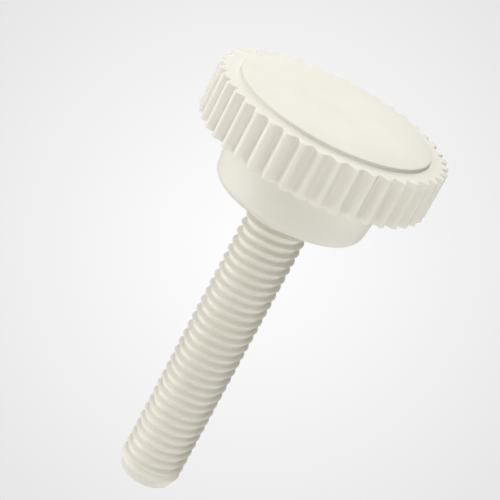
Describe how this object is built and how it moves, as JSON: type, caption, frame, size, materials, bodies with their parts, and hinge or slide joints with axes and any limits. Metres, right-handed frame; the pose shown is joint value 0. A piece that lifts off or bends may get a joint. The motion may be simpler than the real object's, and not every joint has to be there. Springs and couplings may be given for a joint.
{
  "type": "thumb screw",
  "caption": "Moulded plastic thumb screw: a fluted round head with a raised disc, a tapered collar under it and a long metric threaded shank.",
  "frame": {"origin": "centre of the flat middle of the head's face, on which the screw stands", "axes": "+Z along the screw's axis from the head to the tip, +X through the crest of one flute"},
  "size_m": [0.029, 0.029, 0.0536],
  "materials": {
    "nylon": "satin, natural off-white nylon as moulded"
  },
  "bodies": {
    "root": {"thumb_screw": "nylon"}
  },
  "joints": []
}
